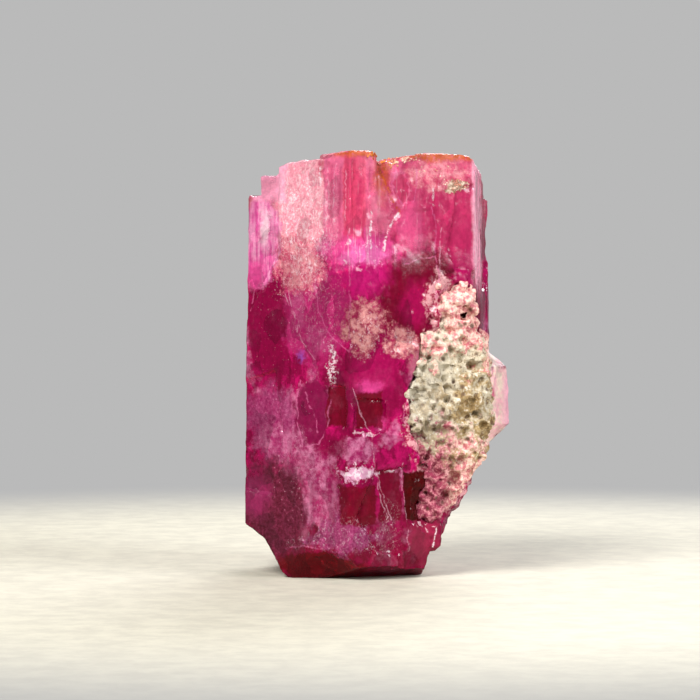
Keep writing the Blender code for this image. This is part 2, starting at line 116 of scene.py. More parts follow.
# Open grooves in the front sides: across, lower and upper end, width and depth, in mm. Each
# wanders a little, and fades out over a length at its lower and at its upper end.
GROOVES_END_Y = -0.5 * MM
GROOVE_WANDER = 0.05
GROOVE_WAVE = 0.6 * MM
LOWER_FADE = 1.0
UPPER_FADE = 0.1
GROOVES = (
    (0.02, 8.50, 10.20, 0.11, 0.13),
    (-1.18, 7.90, 9.75, 0.05, 0.05),
    (-0.62, 7.70, 9.80, 0.06, 0.06),
    (-0.22, 8.00, 9.60, 0.05, 0.04),
    (0.62, 8.30, 9.70, 0.07, 0.05),
    (1.30, 7.20, 9.40, 0.04, 0.04),
)


def merged_copy(node_name):
    """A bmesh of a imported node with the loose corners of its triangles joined."""
    bm = bmesh.new()
    bm.from_mesh(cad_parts[node_name].data)
    bmesh.ops.remove_doubles(bm, verts=bm.verts, dist=1e-7)
    return bm


def even_mesh(bm, cell):
    """The same surface with small even faces: remeshed, then laid back onto the old faces."""
    old_surface = BVHTree.FromBMesh(bm)
    bmesh.ops.scale(bm, vec=(1 / MM, 1 / MM, 1 / MM), verts=bm.verts)
    mesh = bpy.data.meshes.new("coarse")
    bm.to_mesh(mesh)
    bm.free()
    coarse = bpy.data.objects.new("coarse", mesh)
    bpy.context.scene.collection.objects.link(coarse)
    remesh = coarse.modifiers.new("even", "REMESH")
    remesh.mode = "VOXEL"
    remesh.voxel_size = cell / MM
    graph = bpy.context.evaluated_depsgraph_get()
    even = bmesh.new()
    even.from_mesh(coarse.evaluated_get(graph).to_mesh())
    bpy.data.objects.remove(coarse)
    bmesh.ops.scale(even, vec=(MM, MM, MM), verts=even.verts)
    for vert in even.verts:
        vert.co = old_surface.find_nearest(vert.co)[0]
    even.normal_update()
    return even


def drop_loose_bits(bm):
    """Keep the largest joined part of a mesh: closed bubbles inside it go."""
    unseen = set(bm.verts)
    largest = set()
    while unseen:
        first = unseen.pop()
        joined = {first}
        front = [first]
        while front:
            for edge in front.pop().link_edges:
                for vert in edge.verts:
                    if vert in unseen:
                        unseen.discard(vert)
                        joined.add(vert)
                        front.append(vert)
        if len(joined) > len(largest):
            largest = joined
    bmesh.ops.delete(bm, geom=[vert for vert in bm.verts if vert not in largest], context="VERTS")


def finished_piece(name, bm):
    """Turn a bmesh into a smooth-shaded piece whose sharp edges stay sharp."""
    mesh = bpy.data.meshes.new(name)
    bm.to_mesh(mesh)
    bm.free()
    mesh.shade_smooth()
    mesh.set_sharp_from_angle(angle=SHARP_FROM)
    piece = bpy.data.objects.new(name, mesh)
    bpy.context.scene.collection.objects.link(piece)
    return piece


def keep_in_box(bm):
    """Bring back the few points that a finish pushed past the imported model's box."""
    for vert in bm.verts:
        for axis in range(3):
            vert.co[axis] = min(max(vert.co[axis], cad_low[axis]), cad_high[axis])


def growth_relief(place, side):
    """How far a point of a flat side stands out: fine upright lines and broad steps."""
    along = place.x * math.sin(side) - place.y * math.cos(side)
    lines = noise.noise(Vector((along / FINE_LINES[0], place.z / FINE_LINES[1], side)))
    lines += 0.6 * noise.noise(Vector((along / WIDE_LINES[0], place.z / WIDE_LINES[1], side + 4.0)))
    steps = noise.noise(Vector((along / GROWTH_STEPS[0], place.z / GROWTH_STEPS[1], side + 9.0)))
    terrace = math.floor(steps * STEP_LEVELS) / STEP_LEVELS
    return GROWTH_LINE_DEPTH * lines + GROWTH_STEP_DEPTH * terrace


def break_relief(place):
    """How far a point of a broken face stands out: curved ripples and small lumps."""
    lumps = noise.noise(place / WIDE_LUMPS) + 0.5 * noise.noise(place / NARROW_LUMPS)
    chips = noise.voronoi(place / CHIPS)[0]
    return BREAK_LUMP_DEPTH * (0.7 * lumps + (chips[1] - chips[0]) - 0.4)


def groove_relief(place):
    """How deep the open grooves of the front sides are at a point."""
    deepest = 0.0
    if place.y > GROOVES_END_Y:
        return deepest
    for across, low, high, width, depth in GROOVES:
        wander = GROOVE_WANDER * noise.noise(Vector((across, 0.0, place.z / GROOVE_WAVE)))
        share = abs(place.x / MM - across - wander) / width
        ends = min((place.z / MM - low) / LOWER_FADE, (high - place.z / MM) / UPPER_FADE, 1.0)
        if share < 1.0 and ends > 0.0:
            deepest = max(deepest, depth * MM * (1.0 - share * share) * ends)
    return deepest


def depth_under(place, sides):
    """How deep a point lies under the nearest of some sides, in mm."""
    depths = []
    for side, reach in sides:
        across = (place.x / MM - AXIS[0]) * math.cos(side)
        depths.append(reach - across - (place.y / MM - AXIS[1]) * math.sin(side))
    return min(depths)


def add_lumps(bm, seats, count, way, chance):
    """Add small balls between the two walls of the gap, so much of the way to the rock."""
    for wall, rock_wall, gap in chance.sample(seats, min(count, len(seats))):
        middle = wall.lerp(rock_wall, chance.uniform(*way))
        reach = gap * chance.uniform(*LUMP_SHARE) + chance.uniform(*LUMP_EXTRA) * MM
        lump = bmesh.ops.create_icosphere(bm, subdivisions=1, radius=reach)["verts"]
        bmesh.ops.translate(bm, vec=middle, verts=lump)


# The rock's own lumps are added here too, since both pieces share out the one gap.
matrix_bm = merged_copy("matrix")
rock_skin = BVHTree.FromBMesh(matrix_bm)
first_bm = even_mesh(merged_copy("beryl_crystal"), CRYSTAL_CELL)
rock_seats = []
crystal_seats = []
chance = random.Random(11)
for vert in first_bm.verts:
    rock_wall, _, _, gap = rock_skin.find_nearest(vert.co)
    in_socket = depth_under(vert.co, FRONT_SIDES) > RIM_DEPTH
    well_under = depth_under(vert.co, (*FRONT_SIDES, RIGHT_SIDE)) > LUMP_DEPTH
    if gap < (WIDEST_GAP if in_socket else WIDEST_RIM):
        mostly_rock = ROCK_LOW < vert.co.z < ROCK_HIGH
        if chance.random() < (ROCK_IN_THE_MIDDLE if mostly_rock else ROCK_ELSEWHERE):
            if mostly_rock or (well_under and ROCK_HIGH < vert.co.z < HIGHEST_LUMP):
                rock_seats.append((vert.co.copy(), rock_wall, gap))
        elif well_under:
            crystal_seats.append((vert.co.copy(), rock_wall, gap))
first_bm.free()
add_lumps(matrix_bm, rock_seats, ROCK_LUMPS, ROCK_WAY, chance)
crystal_bm = merged_copy("beryl_crystal")
add_lumps(crystal_bm, crystal_seats, CRYSTAL_LUMPS, CRYSTAL_WAY, chance)
crystal_bm = even_mesh(crystal_bm, CRYSTAL_CELL)
drop_loose_bits(crystal_bm)
shifts = []
for vert in crystal_bm.verts:
    side_of = None
    for side in SIDES:
        if vert.normal.x * math.cos(side) + vert.normal.y * math.sin(side) > SIDE_LIKENESS:
            side_of = side
    if side_of is None:
        out = break_relief(vert.co)
    else:
        out = growth_relief(vert.co, side_of)
    shifts.append(vert.normal * (out - groove_relief(vert.co)))
for vert, shift in zip(crystal_bm.verts, shifts):
    if vert.co.z > FLAT_FOOT:
        vert.co += shift
keep_in_box(crystal_bm)
crystal = finished_piece("beryl_prism", crystal_bm)


def put(tree, kind, settings=None, values=None, links=None):
    """Add a node with its settings, the values of its sockets and what feeds them."""
    node = tree.nodes.new("ShaderNode" + kind)
    for name, value in (settings or {}).items():
        setattr(node, name, value)
    for name, value in (values or {}).items():
        node.inputs[name].default_value = value
    for name, socket in (links or {}).items():
        tree.links.new(socket, node.inputs[name])
    return node


def feed(tree, node, sockets, values):
    """Give each socket its value, or link it where the value is itself a socket."""
    for socket, value in zip(sockets, values):
        if isinstance(value, bpy.types.NodeSocket):
            tree.links.new(value, socket)
        else:
            socket.default_value = value
    return node


def calculate(tree, operation, first, second=0.0):
    """A Math node on two sockets or numbers; returns its result."""
    node = put(tree, "Math", {"operation": operation})
    return feed(tree, node, node.inputs, (first, second)).outputs[0]


def blend_colours(tree, mask, below, above, mode="MIX"):
    """Lay one colour over another where a mask is 1; returns the mixed colour."""
    node = put(tree, "Mix", {"data_type": "RGBA", "blend_type": mode})
    sockets = (node.inputs[0], node.inputs[6], node.inputs[7])
    return feed(tree, node, sockets, (mask, below, above)).outputs[2]


def ramp(tree, value, low, high, to_low=0.0, to_high=1.0):
    """Stretch a value so that low to high becomes to_low to to_high, eased at both ends."""
    node = put(tree, "MapRange", {"interpolation_type": "SMOOTHSTEP"}, None, {"Value": value})
    sockets = [node.inputs[name] for name in ("From Min", "From Max", "To Min", "To Max")]
    return feed(tree, node, sockets, (low, high, to_low, to_high)).outputs[0]


def cloudy_group():
    """A cloudy pattern that every finish here uses: stretched and turned noise."""
    tree = bpy.data.node_groups.new("cloudy_pattern", "ShaderNodeTree")
    for socket in ("Place", "Stretch", "Turn"):
        tree.interface.new_socket(socket, in_out="INPUT", socket_type="NodeSocketVector")
    for socket in ("Scale", "Detail", "Roughness"):
        tree.interface.new_socket(socket, in_out="INPUT", socket_type="NodeSocketFloat")
    tree.interface.new_socket("Value", in_out="OUTPUT", socket_type="NodeSocketFloat")
    tree.interface.new_socket("Colour", in_out="OUTPUT", socket_type="NodeSocketColor")
    given = tree.nodes.new("NodeGroupInput")
    result = tree.nodes.new("NodeGroupOutput")
    turned = put(tree, "Mapping", None, None,
                 {"Vector": given.outputs["Place"], "Scale": given.outputs["Stretch"],
                  "Rotation": given.outputs["Turn"]})
    pattern = put(tree, "TexNoise", None, None,
                  {"Vector": turned.outputs[0], "Scale": given.outputs["Scale"],
                   "Detail": given.outputs["Detail"], "Roughness": given.outputs["Roughness"]})
    tree.links.new(pattern.outputs[0], result.inputs["Value"])
    tree.links.new(pattern.outputs["Color"], result.inputs["Colour"])
    return tree


CLOUDY = cloudy_group()


def cloudy(tree, place, scale, detail=6.0, roughness=0.62, stretch=(1.0, 1.0, 1.0), lean=0.0):
    """Place the cloudy pattern, with so many features a millimetre; it may lean sideways."""
    return put(tree, "Group", {"node_tree": CLOUDY},
               {"Scale": scale, "Detail": detail, "Roughness": roughness,
                "Stretch": stretch, "Turn": (0.0, lean, 0.0)}, {"Place": place})


def colour(red, green, blue):
    """A paint colour from screen values of 0 to 255, as the linear light that nodes use."""
    linear = []
    for level in (red / 255, green / 255, blue / 255):
        linear.append(level / 12.92 if level <= 0.04045 else ((level + 0.055) / 1.055) ** 2.4)
    return (*linear, 1.0)


def new_material(name):
    """A material with its Principled shader, and a socket with the place in millimetres."""
    material = bpy.data.materials.new(name)
    material.use_nodes = True
    tree = material.node_tree
    shader = tree.nodes["Principled BSDF"]
    coords = put(tree, "TexCoord")
    scaled = put(tree, "VectorMath", {"operation": "SCALE"}, {"Scale": 1 / MM},
                 {0: coords.outputs["Object"]})
    return material, tree, shader, scaled.outputs[0]


def mask_group(name, square):
    """A mask round a place: 1 inside an ellipsoid, or inside an upright pane, and 0 outside."""
    tree = bpy.data.node_groups.new(name, "ShaderNodeTree")
    for socket in ("Place", "Centre", "Size"):
        tree.interface.new_socket(socket, in_out="INPUT", socket_type="NodeSocketVector")
    for socket in ("Softness", "Raggedness", "Noise", "Cover"):
        tree.interface.new_socket(socket, in_out="INPUT", socket_type="NodeSocketFloat")
    tree.interface.new_socket("Mask", in_out="OUTPUT", socket_type="NodeSocketFloat")
    given = tree.nodes.new("NodeGroupInput")
    result = tree.nodes.new("NodeGroupOutput")
    away = put(tree, "VectorMath", {"operation": "SUBTRACT"}, None,
               {0: given.outputs["Place"], 1: given.outputs["Centre"]})
    share = put(tree, "VectorMath", {"operation": "DIVIDE"}, None,
                {0: away.outputs[0], 1: given.outputs["Size"]})
    if square:
        cut = put(tree, "SeparateXYZ", None, None, {0: share.outputs[0]})
        reach = calculate(tree, "MAXIMUM", calculate(tree, "ABSOLUTE", cut.outputs["X"]),
                          calculate(tree, "ABSOLUTE", cut.outputs["Z"]))
    else:
        reach = put(tree, "VectorMath", {"operation": "LENGTH"}, None,
                    {0: share.outputs[0]}).outputs["Value"]
    torn = calculate(tree, "SUBTRACT", given.outputs["Noise"], 0.5)
    reach = calculate(tree, "ADD", reach, calculate(tree, "MULTIPLY", torn, given.outputs["Raggedness"]))
    inner = calculate(tree, "SUBTRACT", 1.0, given.outputs["Softness"])
    outer = calculate(tree, "ADD", 1.0, given.outputs["Softness"])
    fade = ramp(tree, reach, inner, outer, 1.0, 0.0)
    tree.links.new(calculate(tree, "MULTIPLY", fade, given.outputs["Cover"]), result.inputs["Mask"])
    return tree


SPOT = mask_group("round_spot", False)
PANE = mask_group("flat_pane", True)

# How far back the middle of every front mask lies, and its half size from front to back.
FRONT_Y = -2.0
FRONT_REACH = 5.0


def front_mask(tree, group, place, torn, across, height, half_width, half_height, softness, ragged, cover):
    """A mask on the front sides, centred so far across and so high, in millimetres."""
    return put(tree, "Group", {"node_tree": group},
               {"Centre": (across, FRONT_Y, height), "Size": (half_width, FRONT_REACH, half_height),
                "Softness": softness, "Raggedness": ragged, "Cover": cover},
               {"Place": place, "Noise": torn}).outputs[0]


def line_group():
    """A mask along a line seen from the front, from Start over Run; Pace is Run by its square."""
    tree = bpy.data.node_groups.new("fine_line", "ShaderNodeTree")
    for socket in ("Place", "Start", "Run", "Pace"):
        tree.interface.new_socket(socket, in_out="INPUT", socket_type="NodeSocketVector")
    tree.interface.new_socket("Width", in_out="INPUT", socket_type="NodeSocketFloat")
    tree.interface.new_socket("Mask", in_out="OUTPUT", socket_type="NodeSocketFloat")
    given = tree.nodes.new("NodeGroupInput")
    result = tree.nodes.new("NodeGroupOutput")
    away = put(tree, "VectorMath", {"operation": "SUBTRACT"}, None,
               {0: given.outputs["Place"], 1: given.outputs["Start"]}).outputs[0]
    flat = put(tree, "VectorMath", {"operation": "MULTIPLY"}, {1: (1.0, 0.0, 1.0)},
               {0: away}).outputs[0]
    passed = put(tree, "VectorMath", {"operation": "DOT_PRODUCT"}, None,
                 {0: flat, 1: given.outputs["Pace"]})
    share = put(tree, "Clamp", None, None, {"Value": passed.outputs["Value"]}).outputs[0]
    nearest = put(tree, "VectorMath", {"operation": "SCALE"}, None,
                  {0: given.outputs["Run"], "Scale": share}).outputs[0]
    gap = put(tree, "VectorMath", {"operation": "DISTANCE"}, None, {0: flat, 1: nearest})
    faded = ramp(tree, gap.outputs["Value"], 0.0, given.outputs["Width"], 1.0, 0.0)
    tree.links.new(faded, result.inputs["Mask"])
    return tree


LINE = line_group()


def drawn_lines(tree, place, lines, width):
    """One mask for several bent lines, each given as its corners (across, height) in mm."""
    mask = 0.0
    for corners in lines:
        for (start_x, start_z), (end_x, end_z) in zip(corners, corners[1:]):
            run = Vector((end_x - start_x, 0.0, end_z - start_z))
            part = put(tree, "Group", {"node_tree": LINE},
                       {"Start": (start_x, 0.0, start_z), "Run": run, "Pace": run / run.length_squared,
                        "Width": width}, {"Place": place}).outputs[0]
            mask = calculate(tree, "MAXIMUM", part, mask)
    return mask


beryl, tree, shader, place = new_material("red_beryl_finish")

# The place in two bent forms, so that no colour ends in a straight line, and the patterns.
wide_wobble = cloudy(tree, place, 1.4, 4.0)
small_wobble = cloudy(tree, place, 5.5, 8.0, 0.68)
bent = place
nearly_flat = place
for pattern, reach, slight in ((wide_wobble, 0.50, 0.25), (small_wobble, 0.35, 0.12)):
    centred = put(tree, "VectorMath", {"operation": "SUBTRACT"}, {1: (0.5, 0.5, 0.5)},
                  {0: pattern.outputs["Colour"]}).outputs[0]
    bent = put(tree, "VectorMath", {"operation": "MULTIPLY_ADD"}, {1: (reach, reach, reach)},
               {0: centred, 2: bent}).outputs[0]
    nearly_flat = put(tree, "VectorMath", {"operation": "MULTIPLY_ADD"},
                      {1: (slight, slight, slight)}, {0: centred, 2: nearly_flat}).outputs[0]
torn = cloudy(tree, place, 2.6, 8.0, 0.72).outputs[0]
mottle = cloudy(tree, place, 5.0, 8.0, 0.72).outputs[0]
specks = cloudy(tree, place, 13.0, 6.0, 0.75).outputs[0]
grain = cloudy(tree, place, 9.0, 8.0, 0.7).outputs[0]
clouds = cloudy(tree, place, 0.9, 7.0, 0.62).outputs[0]
streaks = cloudy(tree, bent, 1.0, 6.0, 0.62, stretch=(7.0, 7.0, 0.8)).outputs[0]
upright = cloudy(tree, place, 1.0, 5.0, 0.6, stretch=(17.0, 17.0, 0.9)).outputs[0]
hatch = cloudy(tree, bent, 1.0, 6.0, 0.7, stretch=(24.0, 24.0, 7.0), lean=0.5).outputs[0]

PINK = colour(204, 62, 110)
ROSE = colour(250, 84, 168)
MAUVE = colour(190, 46, 116)
MAGENTA = colour(192, 12, 98)
CRIMSON = colour(114, 0, 38)
DEEP = colour(128, 0, 56)
DARK_RED = colour(112, 0, 26)
BLACK_RED = colour(74, 0, 4)
PLUM = colour(128, 10, 66)
IRON = colour(198, 88, 26)
WHITE = colour(255, 236, 244)

# Clouded parts have two colours each, mixed by a fine pattern.
FROST = blend_colours(tree, ramp(tree, hatch, 0.34, 0.66), colour(232, 122, 152), colour(255, 186, 196))
SALMON = blend_colours(tree, ramp(tree, mottle, 0.40, 0.60), colour(206, 70, 108), colour(238, 150, 160))
LILAC = blend_colours(tree, ramp(tree, upright, 0.35, 0.65), colour(226, 88, 164), colour(255, 168, 212))
CLOUD = blend_colours(tree, ramp(tree, mottle, 0.40, 0.60), colour(154, 34, 74), colour(222, 152, 150))
MILK = blend_colours(tree, ramp(tree, mottle, 0.38, 0.64), colour(158, 38, 96), colour(216, 130, 170))
HAZE = blend_colours(tree, ramp(tree, specks, 0.30, 0.75), colour(134, 24, 82), colour(188, 88, 138))
FOOT = blend_colours(tree, ramp(tree, specks, 0.35, 0.80), colour(84, 0, 30), colour(146, 44, 84))
DUST = blend_colours(tree, ramp(tree, mottle, 0.42, 0.58), colour(150, 112, 90), colour(226, 208, 184))
LACE = blend_colours(tree, ramp(tree, mottle, 0.44, 0.54), colour(160, 16, 70), colour(232, 170, 176))

# The colours of the front, from the broad ones to the small ones: across and height of the
# middle, half width and half height in mm, softness, raggedness, colour and cover.
PATCHES = (
    (-2.60, 5.90, 0.55, 1.30, 0.20, 1.0, DEEP, 0.9),
    (-1.45, 6.20, 0.80, 1.10, 0.15, 1.0, MAUVE, 0.65),
    (1.20, 6.55, 1.25, 1.08, 0.14, 0.6, CRIMSON, 1.0),
    (0.85, 6.40, 0.35, 0.50, 0.50, 1.0, MAGENTA, 0.45),
    (2.00, 7.40, 0.40, 0.90, 0.30, 1.0, MAGENTA, 0.8),
    (0.70, 8.90, 0.75, 1.15, 0.25, 1.0, PINK, 0.85),
    (0.48, 9.12, 0.20, 0.46, 0.10, 0.3, colour(236, 112, 154), 0.8),
    (0.49, 9.12, 0.14, 0.38, 0.15, 0.3, colour(204, 62, 104), 0.9),
    (0.80, 8.20, 0.36, 0.60, 0.30, 1.5, colour(208, 78, 128), 0.7),
    (1.75, 8.70, 0.70, 1.25, 0.25, 1.0, colour(196, 44, 98), 0.9),
    (1.35, 9.45, 0.75, 0.36, 0.20, 2.0, SALMON, 0.85),
    (1.78, 9.17, 0.26, 0.18, 0.10, 3.0, DUST, 0.95),
    (-0.75, 9.00, 0.75, 1.10, 0.25, 0.8, colour(226, 90, 124), 0.9),
    (-1.85, 8.75, 0.66, 1.30, 0.15, 1.2, FROST, 1.0),
    (-1.85, 7.40, 0.60, 0.70, 0.20, 2.5, SALMON, 0.85),
    # The bright lilac column at the upper left, its white streak and the rose below it are partly the
    # crystal's own colour and partly painted sheen, the light that this side reflects from the upper left.
    (-2.80, 7.95, 0.46, 1.15, 0.12, 0.5, LILAC, 1.0),
    (-2.72, 8.20, 0.13, 0.50, 0.60, 1.0, WHITE, 0.8),
    (-2.90, 7.10, 0.22, 0.30, 0.50, 1.0, ROSE, 0.9),
    (-0.50, 7.05, 0.68, 0.38, 0.50, 1.5, colour(204, 20, 116), 0.75),
    # The hot pink band is partly the crystal's own colour and partly painted highlight; the paler spot in it
    # is painted highlight.
    (-0.50, 7.70, 0.85, 0.42, 0.40, 2.0, ROSE, 0.65),
    (-0.35, 7.55, 0.55, 0.20, 0.40, 3.0, colour(236, 120, 186), 0.6),
    (-0.20, 4.60, 0.90, 0.85, 0.25, 1.0, DEEP, 0.9),
    (-0.10, 4.90, 0.50, 0.50, 0.50, 1.0, MAGENTA, 0.5),
    (-2.53, 3.60, 0.62, 0.90, 0.20, 1.5, HAZE, 0.85),
    (-1.55, 3.85, 0.40, 0.80, 0.10, 0.3, PLUM, 0.95),
    (-2.30, 3.20, 0.70, 0.35, 0.30, 2.0, MILK, 0.6),
    (-1.70, 2.75, 0.60, 0.40, 0.30, 2.0, MILK, 0.7),
    (-1.35, 1.95, 0.46, 0.75, 0.30, 2.6, MILK, 0.7),
    (-0.55, 3.05, 0.42, 0.28, 0.20, 3.0, MILK, 0.9),
    (-1.15, 3.12, 0.34, 0.26, 0.30, 1.5, DEEP, 0.75),
    (-0.50, 2.50, 0.40, 0.13, 0.20, 3.0, colour(236, 176, 208), 0.9),
    (-2.45, 1.60, 0.78, 1.10, 0.20, 1.0, FOOT, 1.0),
    (-2.90, 1.90, 0.30, 0.50, 0.50, 1.0, colour(150, 30, 88), 0.8),
    (1.55, 2.30, 0.75, 0.80, 0.15, 2.0, LACE, 0.95),
    (0.85, 3.70, 0.30, 0.75, 0.15, 3.0, LACE, 0.90),
    (1.10, 5.00, 0.42, 0.55, 0.25, 2.5, colour(206, 110, 136), 0.8),
    (1.50, 6.00, 0.42, 1.00, 0.15, 3.0, LACE, 0.90),
    (1.05, 0.95, 0.40, 0.63, 0.15, 0.8, colour(150, 34, 68), 0.9),
    (-1.40, 0.30, 1.10, 0.34, 0.12, 0.6, colour(96, 0, 14), 1.0),
    (-0.90, 1.05, 0.75, 0.40, 0.15, 2.5, HAZE, 0.9),
    (-0.35, 5.98, 0.48, 0.60, 0.22, 2.6, CLOUD, 1.0),
    (0.55, 5.50, 0.38, 0.36, 0.22, 2.6, CLOUD, 1.0),
    # Two soft pink spots by the windows are painted highlights, small glows of light inside.
    (-0.17, 4.52, 0.20, 0.14, 0.80, 1.0, ROSE, 0.6),
    (0.01, 3.64, 0.12, 0.16, 0.80, 1.0, ROSE, 0.6),
    # A painted glint: a small blue-violet flash of light.
    (-1.80, 5.20, 0.08, 0.14, 0.60, 1.0, colour(150, 90, 200), 0.5),
)

# The upright plates at the top and the dark red windows between inner fractures, with straight
# edges, given as the patches are.
WINDOWS = (
    (-1.08, 8.90, 0.23, 0.95, 0.08, 0.5, colour(224, 104, 148), 0.8),
    (-0.59, 8.95, 0.23, 1.00, 0.08, 0.5, colour(202, 56, 98), 0.8),
    (-0.18, 8.90, 0.14, 0.90, 0.10, 0.5, colour(228, 104, 146), 0.6),
    (-1.00, 4.05, 0.22, 0.47, 0.08, 0.6, DARK_RED, 0.9),
    (-0.24, 3.96, 0.30, 0.42, 0.08, 0.8, DARK_RED, 0.9),
    (-0.50, 1.75, 0.42, 0.45, 0.08, 0.9, DARK_RED, 0.9),
    (0.25, 1.95, 0.26, 0.60, 0.08, 0.8, colour(116, 0, 34), 0.9),
    (0.93, 1.93, 0.34, 0.56, 0.06, 0.6, BLACK_RED, 1.0),
)

# How deep a point lies under the two front sides, in mm: the front colours go no deeper.
depths = []
for side, reach in FRONT_SIDES:
    facing = (math.cos(side), math.sin(side), 0.0)
    out = put(tree, "VectorMath", {"operation": "DOT_PRODUCT"}, {1: facing}, {0: nearly_flat})
    reach += facing[0] * AXIS[0] + facing[1] * AXIS[1]
    depths.append(calculate(tree, "SUBTRACT", reach, out.outputs["Value"]))
depth = calculate(tree, "MINIMUM", *depths)
front = ramp(tree, depth, 1.1, 1.9, 1.0, 0.0)
cut = put(tree, "SeparateXYZ", None, None, {0: bent})
high = ramp(tree, cut.outputs["Z"], 7.2, 9.6)
low = ramp(tree, cut.outputs["Z"], 0.2, 2.6, 1.0, 0.0)

# The body, seen all round: red and clouded, paler upwards as painted light from above, and dark at the foot,
# partly the crystal's own colour and partly painted shade.
paint = blend_colours(tree, ramp(tree, streaks, 0.35, 0.65), MAGENTA, DEEP)
paint = blend_colours(tree, ramp(tree, clouds, 0.52, 0.60, 0.0, 0.8), paint, MILK)
paint = blend_colours(tree, ramp(tree, clouds, 0.38, 0.44, 0.8, 0.0), paint, DEEP)
paint = blend_colours(tree, calculate(tree, "MULTIPLY", high, 0.75), paint, SALMON)
paint = blend_colours(tree, calculate(tree, "MULTIPLY", low, 0.75), paint, DARK_RED)
whole = paint
for patches, group, at in ((PATCHES, SPOT, bent), (WINDOWS, PANE, nearly_flat)):
    for *measures, tint, cover in patches:
        mask = front_mask(tree, group, at, torn, *measures, cover)
        paint = blend_colours(tree, mask, paint, tint)
paint = blend_colours(tree, front, whole, paint)

# The pale step at the upper left, which lies deeper than the front colours go: across and
# height, half width and half height, softness, raggedness and cover.
UPPER_LEFT_STEP = (-2.60, 9.25, 0.42, 0.42, 0.2, 0.4, 0.9)
step_mask = front_mask(tree, PANE, nearly_flat, torn, *UPPER_LEFT_STEP)
paint = blend_colours(tree, step_mask, paint, colour(255, 172, 204))

# Inner fractures: blocks of unlike brightness.
blocks_at = put(tree, "Mapping", None, {"Scale": (1.7, 1.7, 1.0), "Rotation": (0.1, 0.25, 0.0)},
                {"Vector": nearly_flat}).outputs[0]
blocks = put(tree, "TexVoronoi", None, {"Scale": 1.3}, {"Vector": blocks_at})
block_shade = put(tree, "SeparateColor", None, None, {0: blocks.outputs["Color"]})
darkest = ramp(tree, cut.outputs["Z"], 6.4, 7.6, 0.74, 0.84)
shade = ramp(tree, block_shade.outputs[0], 0.1, 0.9, darkest, 1.12)

# White marks inside: fine hatch, upright growth streaks, and specks, each in its own areas;
# three rows are painted glints. A row has the pattern, the values of it where a mark starts
# and is full, then the area's middle, half size, softness and raggedness, as in PATCHES, and
# the marks' cover.
MARKED = (
    (hatch, 0.50, 0.62, -1.75, 8.30, 0.62, 1.40, 0.4, 1.0, 0.85),
    (hatch, 0.54, 0.68, -1.45, 6.35, 0.65, 0.95, 0.4, 1.5, 0.4),
    (hatch, 0.56, 0.66, -0.90, 1.05, 0.80, 0.40, 0.3, 2.0, 0.6),
    (hatch, 0.56, 0.66, 0.25, 1.40, 0.20, 0.45, 0.3, 1.0, 0.6),
    (hatch, 0.55, 0.68, -0.05, 0.85, 0.50, 0.28, 0.3, 2.5, 0.5),
    (hatch, 0.55, 0.68, -1.80, 0.80, 0.38, 0.12, 0.3, 2.5, 0.5),
    (upright, 0.58, 0.72, -0.10, 8.80, 1.30, 1.20, 0.4, 2.0, 0.2),
    (upright, 0.54, 0.70, -0.35, 7.70, 0.80, 0.40, 0.4, 3.0, 0.4),
    # The next three rows are painted glints: white sparkles of light in the hot pink band, left of the middle
    # and low in the middle.
    (mottle, 0.56, 0.64, -0.40, 7.62, 0.60, 0.34, 0.3, 3.0, 0.7),
    (specks, 0.48, 0.56, -1.10, 5.02, 0.09, 0.45, 0.3, 2.5, 0.85),
    (mottle, 0.52, 0.58, -0.55, 2.55, 0.42, 0.22, 0.3, 2.5, 0.9),
    (specks, 0.60, 0.70, -1.60, 2.30, 0.80, 1.00, 0.4, 2.5, 0.5),
    (specks, 0.54, 0.64, -0.28, 5.75, 0.42, 0.50, 0.4, 2.0, 0.45),
    (specks, 0.54, 0.64, 0.60, 5.45, 0.34, 0.34, 0.4, 2.0, 0.45),
    (specks, 0.58, 0.66, -1.95, 8.20, 0.80, 1.60, 0.4, 1.0, 0.6),
    (specks, 0.62, 0.70, -2.30, 4.60, 0.70, 2.40, 0.4, 2.0, 0.5),
)
for pattern, faint, full, *measures in MARKED:
    mask = front_mask(tree, SPOT, bent, torn, *measures)
    mask = calculate(tree, "MULTIPLY", mask, ramp(tree, pattern, faint, full))
    paint = blend_colours(tree, mask, paint, WHITE)

# Lines inside, each a row of corners (across, height) in mm: the rims of fracture plates, one
# running up the front edge as a painted highlight, thin needles, rows of bright beads that are
# painted glints, dark growth tubes, and the rust down the open groove.
PLATE_RIMS = (
    ((0.55, 7.36), (0.90, 7.45), (1.30, 7.50), (1.34, 8.15), (1.22, 8.70)),
    ((1.30, 7.50), (1.38, 7.10), (1.34, 6.55), (1.60, 6.80)),
    ((0.43, 9.70), (0.32, 9.20), (0.52, 8.75), (0.78, 8.80), (0.90, 9.20), (0.82, 9.65)),
    # This rim's upright run along the front edge, near across -0.70, is a painted highlight on that edge.
    ((-1.50, 6.82), (-1.42, 6.25), (-1.15, 5.70), (-0.72, 5.32), (-0.69, 6.25), (-0.70, 8.10)),
    ((-1.85, 4.65), (-1.92, 4.15), (-1.88, 3.55), (-1.74, 3.05), (-1.42, 3.18), (-1.18, 3.60), (-1.14, 4.20)),
    ((-1.74, 4.35), (-1.50, 3.75), (-1.44, 3.45)),
    ((-2.45, 7.45), (-2.68, 7.10), (-2.95, 6.70), (-3.05, 6.25)),
    ((0.90, 4.60), (0.60, 4.15), (0.54, 3.75), (0.88, 3.20)),
    ((0.88, 2.90), (1.22, 2.42), (1.30, 1.92), (0.98, 1.36)),
    ((-2.20, 0.68), (-1.78, 0.78), (-1.28, 0.71)),
)
